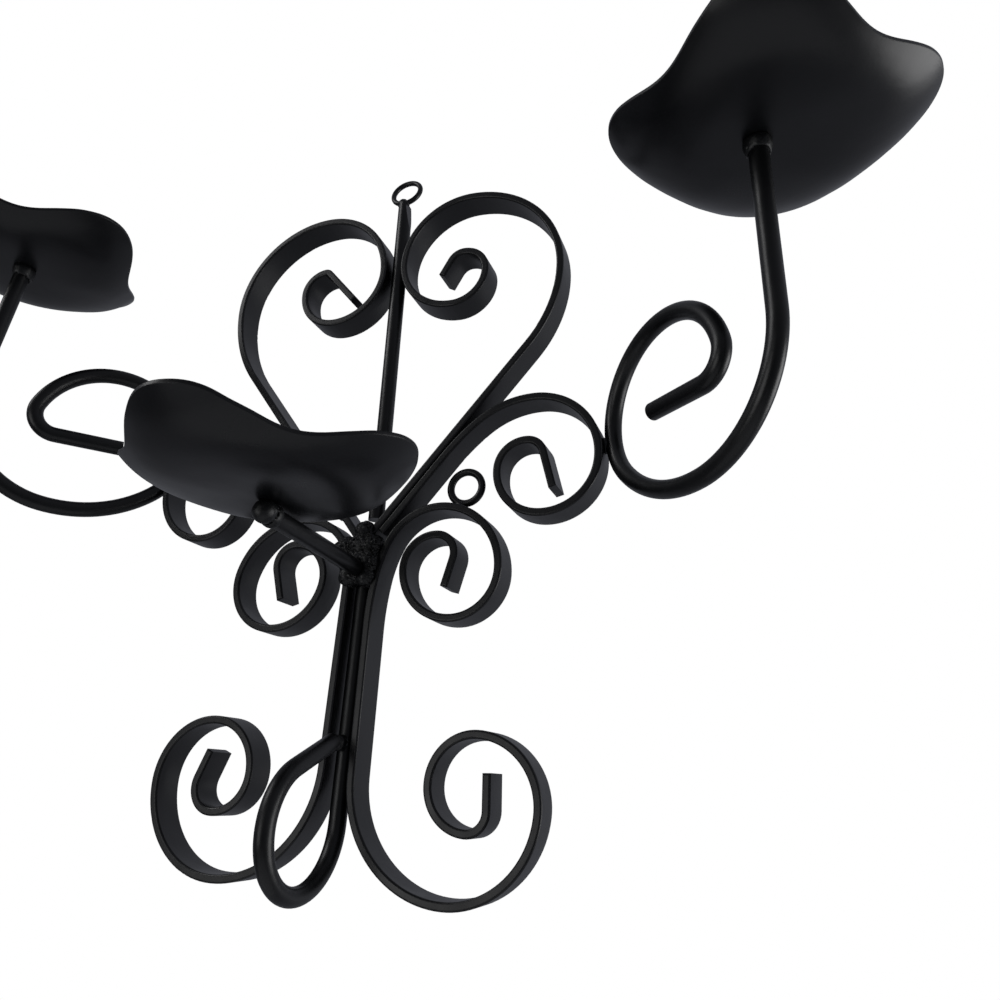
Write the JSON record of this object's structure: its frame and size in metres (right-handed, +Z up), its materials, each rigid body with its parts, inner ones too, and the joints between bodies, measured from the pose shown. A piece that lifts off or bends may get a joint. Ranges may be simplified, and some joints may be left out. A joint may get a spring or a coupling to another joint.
{
  "type": "candle wall sconce",
  "caption": "Wall sconce of bent flat and round bar: a heart of scrolls with lobed drip pans on curled arms",
  "frame": {"origin": "centre of the hanging eye at the top", "axes": "+Z up, +Y into the wall, -Y out of the wall towards the viewer, +X to the viewer's right"},
  "size_m": [0.4341, 0.1369, 0.3203],
  "materials": {
    "bars": "satin black paint on bent flat bar",
    "rods": "satin black paint on round bar",
    "rings": "satin black paint on wire rings",
    "pans": "satin black paint on pressed sheet",
    "welds": "satin black paint on rough weld metal"
  },
  "bodies": {
    "root": {"c_scroll_right": "bars", "c_scroll_left": "bars", "heart_scroll_right": "bars", "heart_scroll_left": "bars", "outer_scroll_right": "bars", "outer_scroll_left": "bars", "centre_rod": "rods", "hanging_eye": "rings", "side_ring_right": "rings", "side_ring_left": "rings", "centre_post": "rods", "riser": "rods", "side_arm_right": "rods", "side_arm_left": "rods", "drip_pan_centre": "pans", "drip_pan_right": "pans", "drip_pan_left": "pans", "hub_weld": "welds", "eye_weld": "welds", "ring_weld_right": "welds", "ring_weld_left": "welds", "arm_weld_right": "welds", "arm_weld_left": "welds", "loop_weld": "welds", "pan_weld_right": "welds", "pan_weld_left": "welds", "pan_weld_centre": "welds"}
  },
  "joints": []
}
